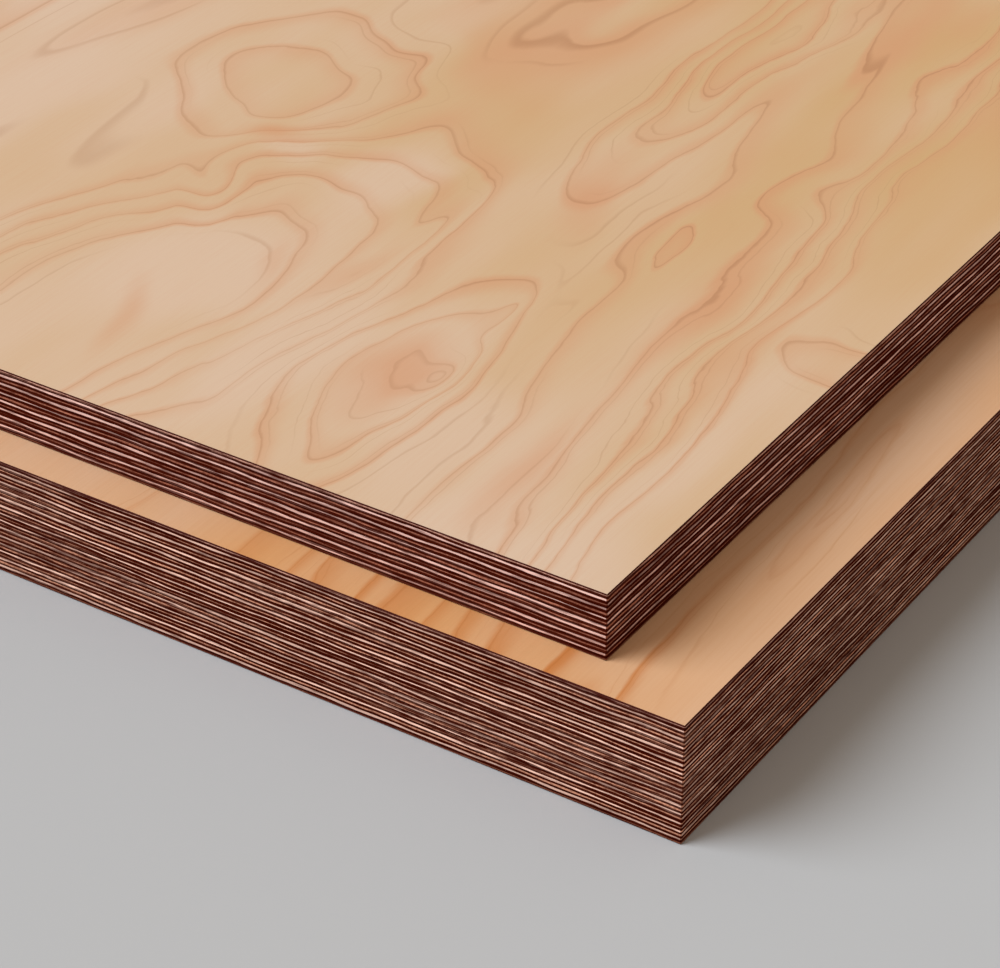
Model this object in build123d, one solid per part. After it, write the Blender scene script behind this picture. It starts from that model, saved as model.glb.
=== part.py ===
from build123d import *
import os

# Two plywood sheets of the same stock size lie one on the other, the thinner one on top.
# Each sheet is a lay-up of rotary-cut veneers with a dark line of cured resin between each two.
# +Y runs along the sheets and their face grain, +X across them, and +Z is up.
# The origin is the centre of the lower sheet's underside. Every size is in millimetres.

# Stock size of both sheets
sheet_width = 610.0
sheet_length = 1220.0

# Face and back veneers, sanded thinner than the core veneers of the upper sheet
face_veneer = 1.0

# A resin line, with the wood that it soaked dark on both sides
glue_line = 0.3

# Sanded break along every arris of a sheet
arris_ease = 0.3

# Lay-up of the upper sheet
upper_plies = 15
upper_core_veneer = 1.14

# Lay-up of the lower sheet, pressed harder than the upper one
lower_plies = 29
lower_core_veneer = 1.04

# How far the upper sheet lies back from the lower sheet's near edges
set_back_across = 31.1
set_back_along = 12.6


def layer_thicknesses(plies, core_veneer):
    """Veneers and resin lines in turn, from the back veneer up to the face veneer."""
    core_plies = plies - 2
    veneers = [face_veneer] + [core_veneer] * core_plies + [face_veneer]
    layers = veneers[:1]
    for veneer in veneers[1:]:
        layers += [glue_line, veneer]
    return layers


def trimmed_blank(thickness):
    """A pressed sheet trimmed to size, with its arrises eased, standing on the XY plane."""
    outline = Rectangle(sheet_width, sheet_length)
    blank = extrude(outline, amount=thickness)
    return chamfer(blank.edges(), arris_ease)


def cut_into_layers(blank, thicknesses):
    """The blank parted at every joint between a veneer and a resin line, from the back up."""
    layers = []
    rest = blank
    level = 0
    for thickness in thicknesses[:-1]:
        level += thickness
        joint = Plane.XY.offset(level)
        layers.append(split(rest, bisect_by=joint, keep=Keep.BOTTOM))
        rest = split(rest, bisect_by=joint, keep=Keep.TOP)
    layers.append(rest)
    return layers


def plywood_sheet(name, plies, core_veneer, seat):
    """Named solids of one sheet, its veneers numbered from the face down, moved to its seat."""
    thicknesses = layer_thicknesses(plies, core_veneer)
    layers = cut_into_layers(trimmed_blank(sum(thicknesses)), thicknesses)
    placed = [seat * layer for layer in layers]
    veneers = placed[::2]
    veneers.reverse()
    resin_lines = placed[1::2]
    nodes = {f"{name}_face_veneer": veneers[0]}
    for number, veneer in enumerate(veneers[1:-1], start=2):
        nodes[f"{name}_core_veneer_{number:02d}"] = veneer
    nodes[f"{name}_back_veneer"] = veneers[-1]
    nodes[f"{name}_glue_lines"] = Compound(children=resin_lines)
    return nodes


# The lower sheet lies flat on the ground
lower_thickness = sum(layer_thicknesses(lower_plies, lower_core_veneer))
lower_sheet = plywood_sheet("lower_sheet", lower_plies, lower_core_veneer, Pos(0, 0, 0))

# The upper sheet rests on its face, set back from both near edges
upper_seat = Pos(-set_back_across, set_back_along, lower_thickness)
upper_sheet = plywood_sheet("upper_sheet", upper_plies, upper_core_veneer, upper_seat)

os.makedirs("parts", exist_ok=True)
for node, shape in {**lower_sheet, **upper_sheet}.items():
    export_step(shape, f"parts/{node}.step")
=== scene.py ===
import math
import random

import bmesh
import bpy
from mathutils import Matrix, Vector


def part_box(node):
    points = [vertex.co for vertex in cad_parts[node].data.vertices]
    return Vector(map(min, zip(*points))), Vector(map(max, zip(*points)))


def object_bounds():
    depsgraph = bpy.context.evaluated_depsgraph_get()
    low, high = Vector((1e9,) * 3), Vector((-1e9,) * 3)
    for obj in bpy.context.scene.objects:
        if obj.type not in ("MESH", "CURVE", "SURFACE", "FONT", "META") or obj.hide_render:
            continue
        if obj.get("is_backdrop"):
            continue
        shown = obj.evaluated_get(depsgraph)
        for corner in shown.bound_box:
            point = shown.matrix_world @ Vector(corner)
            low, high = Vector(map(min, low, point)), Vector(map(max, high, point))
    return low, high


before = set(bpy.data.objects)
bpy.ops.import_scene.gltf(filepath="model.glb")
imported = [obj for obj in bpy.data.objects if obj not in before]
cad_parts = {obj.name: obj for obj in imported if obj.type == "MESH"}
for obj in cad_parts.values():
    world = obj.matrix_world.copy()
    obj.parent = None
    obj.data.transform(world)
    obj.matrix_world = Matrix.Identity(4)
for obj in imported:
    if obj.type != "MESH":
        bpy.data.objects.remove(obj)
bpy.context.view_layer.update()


# Core veneers.
# Thin leaves of hardwood peeled from the log, with the grain turned at every leaf, glued and then
# sawn through together. A leaf shows as a pale line on the sawn edge where its grain runs along
# that edge, and as a browner line where its grain is cut across. Resin darkens both its rims.

millimetre = 0.001


class Tone:
    """A socket of the material being made. Sums and products of tones add Math nodes to it."""

    def __init__(self, tree, socket=None):
        self.tree = tree
        self.socket = socket

    def node(self, kind, settings=None, values=None, output=0):
        """Adds a node: its settings first, then the values or tones of its sockets."""
        made = self.tree.nodes.new(kind)
        for name, setting in (settings or {}).items():
            setattr(made, name, setting)
        for name, value in (values or {}).items():
            if isinstance(value, Tone):
                self.tree.links.new(value.socket, made.inputs[name])
            else:
                made.inputs[name].default_value = value
        return Tone(self.tree, made.outputs[output] if made.outputs else None)

    def maths(self, operation, *terms):
        return self.node("ShaderNodeMath", {"operation": operation}, dict(enumerate(terms)))

    def __add__(self, other):
        return self.maths("ADD", self, other)

    __radd__ = __add__

    def __sub__(self, other):
        return self.maths("SUBTRACT", self, other)

    def __rsub__(self, other):
        return self.maths("SUBTRACT", other, self)

    def __mul__(self, other):
        return self.maths("MULTIPLY", self, other)

    __rmul__ = __mul__

    def __truediv__(self, other):
        return self.maths("DIVIDE", self, other)

    def __mod__(self, other):
        return self.maths("FLOORED_MODULO", self, other)

    def __pow__(self, other):
        return self.maths("POWER", self, other)

    def __abs__(self):
        return self.maths("ABSOLUTE", self)

    def rise(self, start, end):
        """A smooth step from 0 at the start to 1 at the end, which may be the lower of the two."""
        limits = {"Value": self, "From Min": start, "From Max": end}
        return self.node("ShaderNodeMapRange", {"interpolation_type": "SMOOTHSTEP"}, limits)

    def axes(self):
        """The three numbers of a place or a direction."""
        parts = self.node("ShaderNodeSeparateXYZ", values={"Vector": self})
        return [Tone(self.tree, parts.socket.node.outputs[axis]) for axis in "XYZ"]

    def noise(self, cell, detail=2.0, shift=(0.0, 0.0, 0.0)):
        """Clouds about 0.5, one to each cell of the given size in millimetres."""
        scale = [1 / (side * millimetre) for side in cell]
        placing = {"Vector": self, "Scale": scale, "Location": shift}
        spread = self.node("ShaderNodeMapping", values=placing)
        clouds = {"Vector": spread, "Scale": 1.0, "Detail": detail, "Roughness": 0.55}
        return self.node("ShaderNodeTexNoise", values=clouds, output="Fac")

    def blend(self, first, second):
        """The first colour where this tone is 0, and the second where it is 1."""
        colours = {0: self, 6: first, 7: second}
        return self.node("ShaderNodeMix", {"data_type": "RGBA"}, colours, output=2)


def paint(red, green, blue):
    """A colour as it shows on a screen, 0 to 255, in the linear values that shaders use."""
    linear = []
    for level in (red, green, blue):
        share = level / 255
        linear.append(share / 12.92 if share <= 0.04045 else ((share + 0.055) / 1.055) ** 2.4)
    return (*linear, 1.0)


def new_finish(name):
    """An empty material, and the place on its piece as a first tone."""
    material = bpy.data.materials.new(name)
    material.use_nodes = True
    material.node_tree.nodes.clear()
    return material, Tone(material.node_tree).node("ShaderNodeTexCoord", output="Object")


def matt_surface(place, colour, relief, relief_height, roughness, gloss):
    """Ends a material as a matt surface. Its relief rises this many millimetres."""
    rise = {"Height": relief, "Strength": 1.0, "Distance": relief_height * millimetre}
    surface = {
        "Base Color": colour,
        "Roughness": roughness,
        "Specular IOR Level": gloss,
        "Normal": place.node("ShaderNodeBump", values=rise),
    }
    shader = place.node("ShaderNodeBsdfPrincipled", values=surface, output="BSDF")
    place.node("ShaderNodeOutputMaterial", values={"Surface": shader})


def facing(place):
    """How far the surface faces along X, Y and Z, each from -1 to 1."""
    return place.node("ShaderNodeNewGeometry", output="Normal").axes()


def pattern_shift(luck):
    """A random move of a pattern, so that no two leaves look alike."""
    furthest = 50
    return [luck.uniform(-furthest, furthest) for axis in range(3)]


# Cells of the patterns on a sawn edge, in millimetres across the sheet, along it and up
sway_cell = (30, 30, 7)
rim_cell = (12, 12, 2)
fibre_cell = (6, 6, 0.5)
torn_cell = (80, 80, 6)
pore_cell = (0.8, 0.8, 0.3)
stain_cell = (50, 50, 2)

# In millimetres: how far the press bends the leaves between its lowest and its highest place, how
# deep resin soaks into a rim, how much deeper into end grain, and how much deeper in one leaf than
# in another, then how soft the edge of the soaked rim is, and how high the saw marks stand
sway_height = 1.6
rim_soak = 0.6
end_grain_soak = 0.08
least_rim, most_rim = -0.12, 0.06
rim_start, rim_end = -0.04, 0.07
saw_mark_height = 0.1


def sawn_edge(place, low, high, grain_across, tear, tones, luck):
    """The colour and relief of one leaf's sawn edge, between its two resin lines."""
    along_grain, cut_across, soaked = tones
    z = place.axes()[2]
    face_x, face_y = facing(place)[:2]
    end_grain = abs(face_x if grain_across else face_y)
    shift = pattern_shift(luck)

    # Clean wood is left in the middle of the leaf. The press bends all leaves together, and resin
    # soaks in further at some places of a rim than at others
    sway = (place.noise(sway_cell, detail=1.5) - 0.5) * sway_height
    soak = place.noise(rim_cell, detail=3.0, shift=shift) * rim_soak
    rim_width = luck.uniform(least_rim, most_rim) + soak + end_grain * end_grain_soak
    middle = (low + high) / 2
    half = (high - low) / 2 / millimetre
    depth_in = half - abs((z - middle) / millimetre - sway)
    clean = (depth_in - rim_width).rise(rim_start, rim_end)

    # The saw tears some stretches of the edge, and loose fibres break up the line there
    fibre = place.noise(fibre_cell, detail=3.0, shift=shift)
    torn = place.noise(torn_cell, detail=1.0).rise(0.45, 0.62) * tear
    clean = clean + (fibre.rise(0.56, 0.44) - clean) * torn

    # Pores show dark, mostly on end grain, and resin has stained the wood along its fibres and
    # in longer stretches
    pores = place.noise(pore_cell, detail=1.0, shift=shift).rise(0.45, 0.65)
    stains = place.noise(stain_cell, detail=2.0, shift=shift).rise(0.45, 0.75)
    streaks = fibre.rise(0.45, 0.75)
    wood = end_grain.rise(0.3, 0.7).blend(along_grain, cut_across)
    for darkening in (pores * (end_grain * 0.35 + 0.08), streaks * 0.7, stains * 0.7):
        wood = darkening.blend(wood, soaked)
    return clean.blend(soaked, wood), clean * 0.6 + fibre * 0.4


luck = random.Random(7)
soaked_paint = paint(64, 14, 4)
cores = (
    # Sheet, how far the saw tore it, and its wood's paints along the grain and across it
    ("lower_sheet", 0.2, (252, 203, 180), (241, 169, 135)),
    ("upper_sheet", 0.1, (250, 202, 187), (182, 115, 91)),
)

# Logs differ in paleness. A few leaves of the lower sheet stand out as bright lines
darkest_log, palest_log = 0.86, 1.0
bright_log = 1.02
bright_leaves = {6, 12, 16, 26}

for sheet, tear, grain_paint, end_paint in cores:
    core = sorted(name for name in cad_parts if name.startswith(sheet + "_core"))
    for name in core:
        low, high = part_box(name)
        number = int(name[-2:])
        grain_across = number % 2 == 0
        paleness = luck.uniform(darkest_log, palest_log)
        if sheet == "lower_sheet" and number in bright_leaves:
            paleness = bright_log
        along_grain = paint(*[level * paleness for level in grain_paint])
        cut_across = paint(*[level * paleness for level in end_paint])
        tones = (along_grain, cut_across, soaked_paint)
        material, place = new_finish(name + "_edge")
        edge, relief = sawn_edge(place, low[2], high[2], grain_across, tear, tones, luck)

        # The sides glued to the next leaves are in the mean colour of the edge
        mean_edge = [(pale + dark) / 2 for pale, dark in zip(along_grain, soaked_paint)]
        buried = abs(facing(place)[2]).rise(0.85, 0.95)
        colour = buried.blend(edge, mean_edge)
        matt_surface(place, colour, relief, saw_mark_height, roughness=0.7, gloss=0.0)
        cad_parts[name].material_slots[0].material = material


# Resin lines.
# Phenolic glue, spread between the leaves and cured hot under the press. It is a dark red brown,
# and the saw leaves it a little smoother than the wood.

resin_cell = (12, 12, 1.2)
resin_mark_height = 0.05
dark_resin = paint(36, 3, 0)
thin_resin = paint(72, 22, 8)
for sheet in ("lower_sheet", "upper_sheet"):
    material, place = new_finish(sheet + "_resin")
    thickness = place.noise(resin_cell, detail=3.0)
    colour = thickness.rise(0.35, 0.75).blend(dark_resin, thin_resin)
    matt_surface(place, colour, thickness, resin_mark_height, roughness=0.5, gloss=0.0)
    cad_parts[sheet + "_glue_lines"].material_slots[0].material = material


# Face and back veneers.
# One leaf each, peeled so nearly along the growth rings that a ring shows as a wide contour, and
# closes round every swelling of the log. A ring starts as a thin brown line and fades to tan.

# Cells of the patterns on a face, in millimetres as above
ripple_cell = (30, 70, 50)
crook_cell = (30, 50, 50)
tremble_cell = (4, 14, 50)
cloud_cell = (90, 500, 300)
ground_cell = (50, 150, 100)
strength_cell = (28, 90, 50)
faint_cell = (35, 120, 50)
face_fibre_cell = (0.6, 30, 10)

# How far a ring trembles across, in millimetres, and how far it bends along for each millimetre
# that it bends across
tremble_width = 2
crook_share = 1.4

# The listed swellings give way to clouds of them between these distances from the near
# corner, in millimetres, and the clouds differ in height by up to this many rings
set_by_hand, all_clouds = 240, 420
cloud_rings = 10

# The share of a ring that is cut through where there is no swelling
first_ring = 0.62


def swelling(across, along, left, up, half_width, half_length, lean, flat):
    """1 on the flat top of a swelling of the log, falling to 0 round its foot."""
    side = (across + left + (along - up) * lean) / half_width
    ahead = (along - up) / half_length
    return ((side * side + ahead * ahead) ** 0.5).rise(1.0, flat)


def long_ring(left, width, lean):
    """A swelling one ring high, whose left slope is this wide and starts this far left of the
    corner. Its middle lies beyond the sheet's right edge, and its ends beyond the sheet's ends."""
    beyond_edge = 100
    half_width = beyond_edge + left
    half_length = 3000
    return -beyond_edge, 0, half_width, half_length, lean, 1 - width / half_width, 1.0


def crooked_place(place, corner, bend, shift):
    """The place on a face in millimetres from its corner, bent as the fibres of the log are."""
    x, y = place.axes()[:2]
    ripple = place.noise(ripple_cell, detail=1.5, shift=shift) - 0.5
    crook = place.noise(crook_cell, detail=1.0, shift=shift[::-1]) - 0.5
    tremble = place.noise(tremble_cell, detail=2.0, shift=shift) - 0.5
    across = (x - corner[0]) / millimetre + ripple * bend + tremble * tremble_width
    along = (y - corner[1]) / millimetre + crook * bend * crook_share
    return across, along


def ring_count(place, across, along, swellings, shift):
    """The growth rings cut through so far: set swellings near the corner, and clouds beyond."""
    rings = first_ring
    for *shape, crown in swellings:
        rings = rings + swelling(across, along, *shape) * crown
    from_corner = (across * across + along * along) ** 0.5
    clouds = place.noise(cloud_cell, detail=1.5, shift=shift) - 0.5
    return rings + from_corner.rise(set_by_hand, all_clouds) * clouds * cloud_rings


def figured_face(
    place,
    corner,
    luck,
    paints,
    swellings=(),
    bend=24,
    boldness=1.0,
    heart=None,
    bold_part=None,
    pale_patches=(),
    warm_patches=(),
):
    """The colour and relief of a peeled face. Its swellings are in millimetres from the corner."""
    pale, tan, late, thin = paints
    shift = pattern_shift(luck)
    across, along = crooked_place(place, corner, bend, shift)
    rings = ring_count(place, across, along, swellings, shift)

    # The wood is pale in patches, and tan over the heart of the log, where rings show best
    ground = place.noise(ground_cell, detail=2.0, shift=shift).rise(0.3, 0.7)
    strength = place.noise(strength_cell, detail=1.0, shift=shift[::-1]).rise(0.25, 0.72)
    if heart:
        ground = ground * 0.45 + swelling(across, along, *heart) * 0.55
        strength = strength * 0.5 + ground * 0.5
    for *shape, depth in pale_patches:
        ground = ground * (1 - swelling(across, along, *shape) * depth)
    if bold_part:
        boldness = (swelling(across, along, *bold_part) * 0.65 + 0.35) * boldness

    # Each ring is a thin line that starts softly, with a long fade behind it, and here and there
    # a faint line halfway to the next. The numbers are shares of the way from ring to ring
    phase = rings % 1
    line = phase.rise(0.0, 0.016) * phase.rise(0.07, 0.016)
    fade = phase.rise(ground * 0.55 + 0.3, 0.0) + phase.rise(0.87, 1.0)
    halfway = (rings * 2 + 0.7) % 1
    faint_part = place.noise(faint_cell, detail=1.0, shift=shift).rise(0.42, 0.6)
    faint_line = halfway.rise(0.0, 0.03) * halfway.rise(0.1, 0.03) * faint_part
    fibre = place.noise(face_fibre_cell, detail=3.0, shift=shift)

    # Where the blade only grazed a ring, its fade spreads out as a warm patch
    colour = ground.blend(pale, tan)
    for *shape, depth in warm_patches:
        colour = (swelling(across, along, *shape) * depth).blend(colour, late)
    colour = (fade * (strength * 0.75 + 0.1) * boldness).blend(colour, late)
    colour = (line * (strength * 0.35 + 0.22) * boldness).blend(colour, thin)
    colour = (faint_line * 0.24).blend(colour, thin)
    colour = (fibre.rise(0.3, 0.8) * 0.12).blend(colour, late)
    return colour, fibre


# Each swelling: how far left of the corner and up the sheet its middle is, its half width and half
# length, how far it leans left going up, the flat share of its top, and its height in rings
upper_swellings = (
    # Straight rings along the right edge, and what widens and crosses them
    long_ring(72, 22, 0.12),
    long_ring(46, 22, 0.12),
    long_ring(29, 12, 0.12),
    long_ring(24, 14, 0.12),
    long_ring(14, 10, 0.12),
    (88, 158, 12, 52, 0.0, 0.0, 0.45),
    (58, 214, 18, 34, -0.2, 0.0, 0.7),
    (-24, 130, 62, 26, 0.15, 0.4, 0.75),
    (77, 165, 10, 38, 0.15, 0.0, 0.9),
    # The eye in the middle, and the tongue above it
    (107, 58, 30, 86, 0.05, 0.0, 2.5),
    (97, 60, 9, 34, 0.05, 0.0, 0.6),
    (101, 104, 8, 16, 0.05, 0.0, 0.7),
    (119, 300, 24, 168, 0.03, 0.0, 2.9),
    # The pale hollow on the left, with its spike, its stair and the knoll behind it
    (200, 40, 74, 170, -0.2, 0.3, -4.05),
    (143, 110, 9, 70, -0.05, 0.0, -0.9),
    (214, 116, 14, 24, 0.5, 0.0, 1.2),
    (230, 190, 60, 60, 0.0, 0.0, 2.0),
)
lower_swellings = (
    # Close straight rings, which lean more towards the corner
    long_ring(184, 10, -0.12),
    long_ring(150, 22, 0.0),
    long_ring(129, 14, -0.1),
    long_ring(123, 20, 0.3),
    long_ring(106, 10, 0.1),
    long_ring(107, 30, 0.1),
    long_ring(86, 12, 0.15),
    long_ring(77, 16, 0.3),
    long_ring(70, 24, 0.25),
    long_ring(47, 14, 0.1),
    long_ring(30, 14, 0.0),
    # The bend of the last ring at the corner, and the slim eye along the right edge
    (24, -12, 16, 34, 0.0, 0.0, -0.6),
    (22, 150, 11, 173, 0.1, 0.0, 0.7),
)

# Each patch: the same first six numbers, and then how much it changes the wood, from 0 to 1
upper_pale_patches = (
    # The hollow and what lies behind it
    (190, 76, 42, 56, -0.2, 0.3, 0.9),
    (172, 152, 20, 36, -0.2, 0.2, 0.8),
    (206, 148, 16, 14, 0.0, 0.0, 0.6),
    # Beside the eye, along the right edge and at the near corner
    (78, 28, 20, 50, 0.1, 0.2, 0.7),
    (14, 60, 16, 80, 0.0, 0.2, 0.7),
    (26, 0, 50, 40, 0.0, 0.2, 0.9),
)
upper_warm_patches = (
    # Inside the eye and at the tip of the tongue
    (109, 56, 17, 34, 0.0, 0.1, 0.6),
    (113, 180, 11, 40, 0.1, 0.0, 0.5),
    # In and behind the hollow
    (191, 44, 8, 34, 0.3, 0.0, 0.4),
    (173, 92, 8, 24, 0.3, 0.0, 0.3),
    (217, 157, 14, 12, 0.0, 0.0, 0.6),
    # Between the straight rings
    (49, 40, 11, 48, 0.08, 0.0, 0.5),
    (50, 130, 9, 74, 0.08, 0.0, 0.4),
    (26, 118, 8, 48, 0.1, 0.0, 0.4),
)

# Paints of a face: pale wood, tan wood, the fade behind a ring, and the ring's thin line
upper_paints = (
    paint(221, 191, 164),
    paint(208, 168, 117),
    paint(213, 153, 113),
    paint(170, 119, 82),
)
lower_paints = (
    paint(223, 181, 146),
    paint(221, 158, 98),
    paint(204, 125, 64),
    paint(194, 120, 64),
)
upper_face = {
    "paints": upper_paints,
    "swellings": upper_swellings,
    "boldness": 0.88,
    "heart": (60, 600, 330, 640, 0.0, 0.45),
    "pale_patches": upper_pale_patches,
    "warm_patches": upper_warm_patches,
}
upper_back = {"paints": upper_paints, "boldness": 0.84}
lower_face = {
    "paints": lower_paints,
    "swellings": lower_swellings,
    "bend": 8,
    "boldness": 1.3,
    "heart": (92, -10, 90, 80, 0.0, 0.3),
    "bold_part": (70, 0, 100, 70, 0.0, 0.4),
}
lower_back = {"paints": lower_paints, "boldness": 0.8}

# The edges of the outer leaves: pale on the faces and dark on the backs, torn more than the core.
# The fibre of a face stands up by this share of the saw marks' height
pale_edge = paint(210, 156, 134)
dark_edge = paint(128, 76, 54)
face_tear = 0.3
fibre_share = 0.2
luck = random.Random(3)
for name, outward, figure, edge_paint in (
    ("upper_sheet_face_veneer", 1, upper_face, pale_edge),
    ("upper_sheet_back_veneer", -1, upper_back, dark_edge),
    ("lower_sheet_face_veneer", 1, lower_face, pale_edge),
    ("lower_sheet_back_veneer", -1, lower_back, dark_edge),
):
    low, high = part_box(name)
    near_corner = (high[0], low[1])
    material, place = new_finish(name + "_finish")
    face, fibre = figured_face(place, near_corner, luck, **figure)
    tones = (edge_paint, edge_paint, soaked_paint)
    edge, saw_marks = sawn_edge(place, low[2], high[2], False, face_tear, tones, luck)

    # The figure on the open side, the eased arris darkened with the soaked paint, and a sawn edge
    # below
    openness = facing(place)[2] * outward
    shown = openness.rise(0.85, 0.95)
    eased = openness.rise(0.4, 0.6)
    colour = shown.blend(eased.blend(edge, soaked_paint), face)
    relief = fibre * shown * fibre_share + saw_marks * (1 - shown)
    matt_surface(place, colour, relief, saw_mark_height, roughness=0.6, gloss=0.05)
    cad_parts[name].material_slots[0].material = material


# Floor.
# A plain pale grey studio floor, wide enough to fill the view from every side.

floor_width = 60.0
floor_speck_cell = (500, 500, 500)
floor_speck_height = 0.1
shape = bmesh.new()
bmesh.ops.create_grid(shape, x_segments=1, y_segments=1, size=floor_width / 2)
floor_data = bpy.data.meshes.new("floor")
shape.to_mesh(floor_data)
shape.free()
floor = bpy.data.objects.new("floor", floor_data)
bpy.context.scene.collection.objects.link(floor)
material, place = new_finish("floor_paint")
specks = place.noise(floor_speck_cell)
colour = specks.blend(paint(189, 188, 187), paint(190, 189, 188))
matt_surface(place, colour, specks, floor_speck_height, roughness=0.8, gloss=0.2)
floor_data.materials.append(material)
floor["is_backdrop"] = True


# Light.
# A wide soft lamp from the front left, a weak one low on the right, and an even pale room.

def soft_lamp(name, energy, spread, tilt, turn):
    """A lamp far off. Its spread, its tilt from overhead and its turn are in degrees."""
    lamp = bpy.data.lights.new(name, "SUN")
    lamp.energy = energy
    lamp.angle = math.radians(spread)
    lamp_object = bpy.data.objects.new(name, lamp)
    lamp_object.rotation_euler = (math.radians(tilt), 0, math.radians(turn))
    bpy.context.scene.collection.objects.link(lamp_object)
    return lamp


main_lamp = soft_lamp("main_lamp", energy=3.52, spread=46, tilt=52.8, turn=-46.8)
main_lamp.color = (0.825, 0.906, 1.0)
soft_lamp("fill_lamp", energy=0.4, spread=60, tilt=80, turn=75)

walls = paint(192, 192, 191)
warm_ceiling = (0.40, 0.345, 0.285, 1.0)
wall_top, ceiling_start = 0.05, 0.3
world = bpy.data.worlds.new("room")
bpy.context.scene.world = world
world.use_nodes = True
world.node_tree.nodes.clear()
height = Tone(world.node_tree).node("ShaderNodeTexCoord", output="Generated").axes()[2]
room_colour = height.rise(wall_top, ceiling_start).blend(walls, warm_ceiling)
room = height.node("ShaderNodeBackground", values={"Color": room_colour, "Strength": 1.0})
height.node("ShaderNodeOutputWorld", values={"Surface": room})


# Camera.
# It looks down at the stack's near right corner, at the photograph's angle.

camera_data = bpy.data.cameras.new("camera")
camera_data.lens = 128.05
camera_data.sensor_width = 36.0
camera_data.clip_start = 0.01
camera = bpy.data.objects.new("camera", camera_data)
camera_tilt, camera_turn = 56.4, 33.08
camera.location = (0.6544, -1.2317, 0.5846)
camera.rotation_euler = (math.radians(camera_tilt), 0, math.radians(camera_turn))
bpy.context.scene.collection.objects.link(camera)
bpy.context.scene.camera = camera
bpy.context.scene.view_settings.view_transform = "Standard"

low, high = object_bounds()
